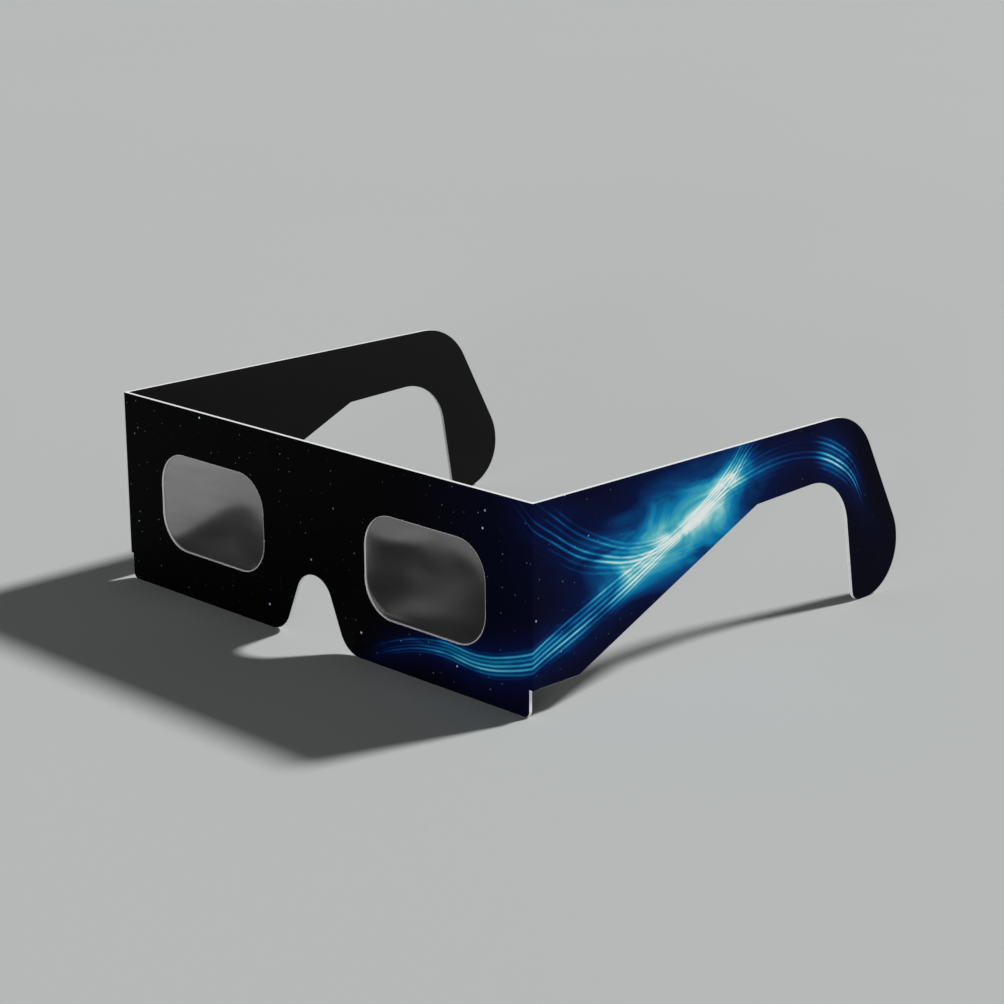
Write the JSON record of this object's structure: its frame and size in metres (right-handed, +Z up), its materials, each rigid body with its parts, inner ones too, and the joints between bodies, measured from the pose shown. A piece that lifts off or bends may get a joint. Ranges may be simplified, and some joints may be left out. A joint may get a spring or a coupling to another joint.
{
  "type": "eclipse glasses",
  "caption": "Folding card glasses with dark solar filter films in rounded eye openings, a nose notch and creased temples with ear hooks.",
  "frame": {"origin": "bottom centre of the glasses' bounding box, on the surface that they stand on, with both temples open square to the front", "axes": "+X across the front, to the right when one looks at its printed face, +Y from that face back to the ear hooks, +Z up"},
  "size_m": [0.14, 0.127, 0.0474],
  "materials": {
    "printed_card": "printed, satin varnish",
    "black_card": "matte",
    "filter_film": "gloss",
    "glue": "matte"
  },
  "bodies": {
    "front": {"front_outer_card": "printed_card", "front_inner_card": "black_card", "front_glue": "glue", "left_filter_film": "filter_film", "right_filter_film": "filter_film", "left_fold_outer_card": "printed_card", "left_fold_inner_card": "black_card", "right_fold_outer_card": "printed_card", "right_fold_inner_card": "black_card"},
    "left_temple": {"left_temple_outer_card": "printed_card", "left_temple_inner_card": "black_card", "left_temple_glue": "glue"},
    "right_temple": {"right_temple_outer_card": "printed_card", "right_temple_inner_card": "black_card", "right_temple_glue": "glue"}
  },
  "joints": [
    {"name": "left_temple_fold", "type": "hinge", "parent": "front", "child": "left_temple", "pos_m": [-0.0692, -0.0627, 0], "axis": [0, 0, -1], "range_deg": [-90, 89.8], "deforming": ["left_fold_outer_card", "left_fold_inner_card"]},
    {"name": "right_temple_fold", "type": "hinge", "parent": "front", "child": "right_temple", "pos_m": [0.0692, -0.0627, 0], "axis": [0, 0, 1], "range_deg": [-90, 83], "deforming": ["right_fold_outer_card", "right_fold_inner_card"]}
  ]
}
